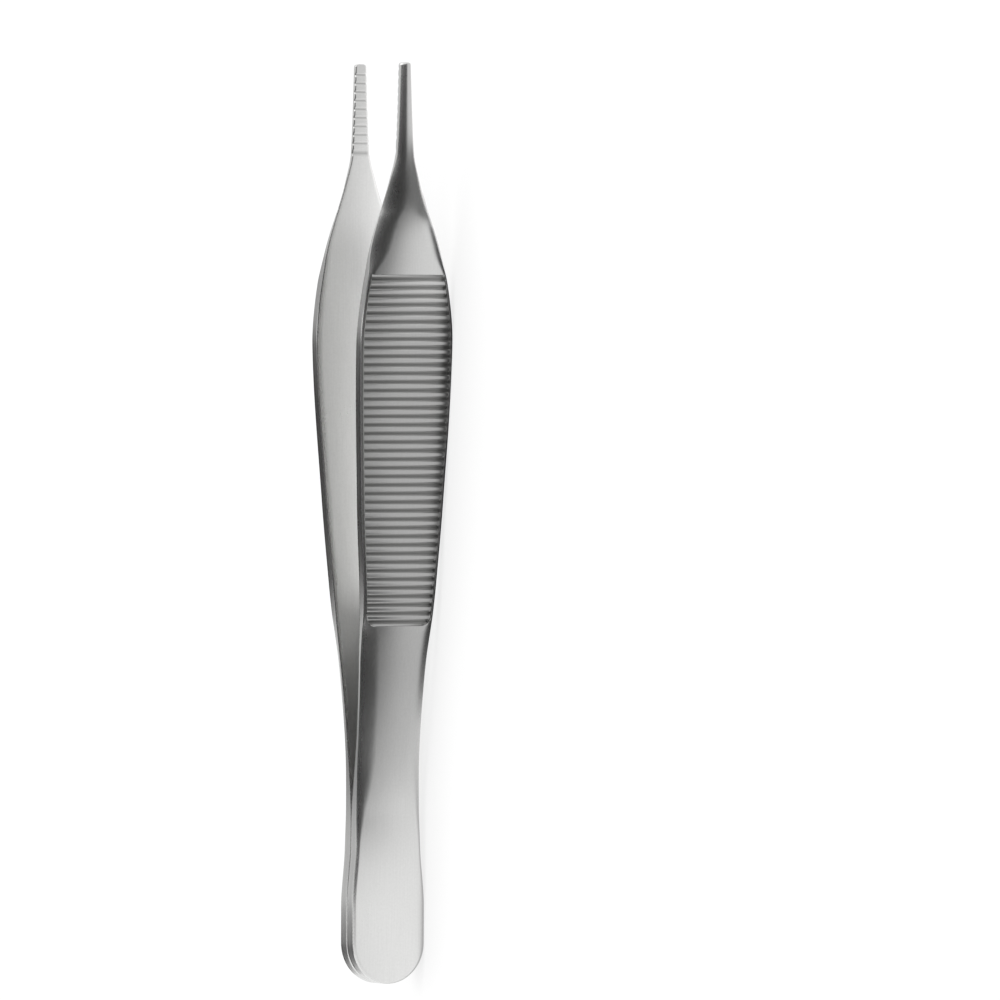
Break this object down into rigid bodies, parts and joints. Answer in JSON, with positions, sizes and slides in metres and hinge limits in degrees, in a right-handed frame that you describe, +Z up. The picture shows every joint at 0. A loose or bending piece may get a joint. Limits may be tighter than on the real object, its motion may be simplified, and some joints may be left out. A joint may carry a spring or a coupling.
{
  "type": "thumb forceps",
  "caption": "Surgical thumb forceps: sprung steel arms welded at a rounded heel, with broad cross-ridged grips and narrow serrated jaws that stand open.",
  "frame": {"origin": "middle of the part's box seen from above, on the surface it lies on", "axes": "+X from the heel to the tips of the jaws; +Y from the right arm to the left arm, the way the jaws open; +Z up, across the width of the arms, as the forceps lies on its side"},
  "size_m": [0.12, 0.0142, 0.0139],
  "materials": {
    "steel": "satin"
  },
  "bodies": {
    "root": {"left_arm": "steel", "right_arm": "steel"}
  },
  "joints": []
}
